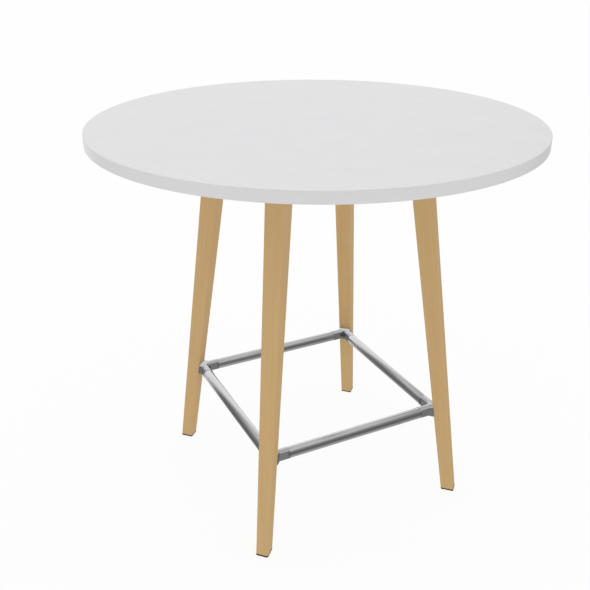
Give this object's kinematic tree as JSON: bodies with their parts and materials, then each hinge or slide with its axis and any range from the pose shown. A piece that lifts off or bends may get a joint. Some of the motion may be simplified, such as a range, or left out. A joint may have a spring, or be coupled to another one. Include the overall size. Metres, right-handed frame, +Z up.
{
  "type": "standing meeting table",
  "caption": "Round standing-height table on tapered, splayed wooden legs, tied together near the floor by a square tubular steel footrest.",
  "frame": {"origin": "On the floor under the middle of the round top.", "axes": "+Z up. The four footrest rails run along X and Y, and the legs stand on the diagonals between them. Front is -Y and right is +X."},
  "size_m": [1.1998, 1.2, 1.1],
  "materials": {
    "white_laminate": "smooth white laminate, low sheen",
    "white_edge_band": "smooth white edge band, low sheen",
    "chipboard": "raw chipboard, covered on every side",
    "beech": "pale straight-grained hardwood, clear lacquer",
    "black_pad": "near-black foot pad",
    "coated_steel": "black powder coat, fine texture",
    "polished_steel": "polished tube",
    "satin_steel": "polished cast steel, slightly duller than the tube",
    "zinc_plated_steel": "bright zinc plate",
    "satin_bolt_steel": "plain steel bolt"
  },
  "bodies": {
    "root": {"top_core": "chipboard", "top_laminate": "white_laminate", "backing_laminate": "white_laminate", "edge_band": "white_edge_band", "leg_front_left": "beech", "foot_pad_front_left": "black_pad", "leg_plate_front_left": "coated_steel", "corner_fitting_front_left": "satin_steel", "leg_front_right": "beech", "foot_pad_front_right": "black_pad", "leg_plate_front_right": "coated_steel", "corner_fitting_front_right": "satin_steel", "leg_back_right": "beech", "foot_pad_back_right": "black_pad", "leg_plate_back_right": "coated_steel", "corner_fitting_back_right": "satin_steel", "leg_back_left": "beech", "foot_pad_back_left": "black_pad", "leg_plate_back_left": "coated_steel", "corner_fitting_back_left": "satin_steel", "footrest_rail_front": "polished_steel", "footrest_rail_right": "polished_steel", "footrest_rail_back": "polished_steel", "footrest_rail_left": "polished_steel", "hanger_bolts": "zinc_plated_steel", "corner_bolts": "satin_bolt_steel"}
  },
  "joints": []
}
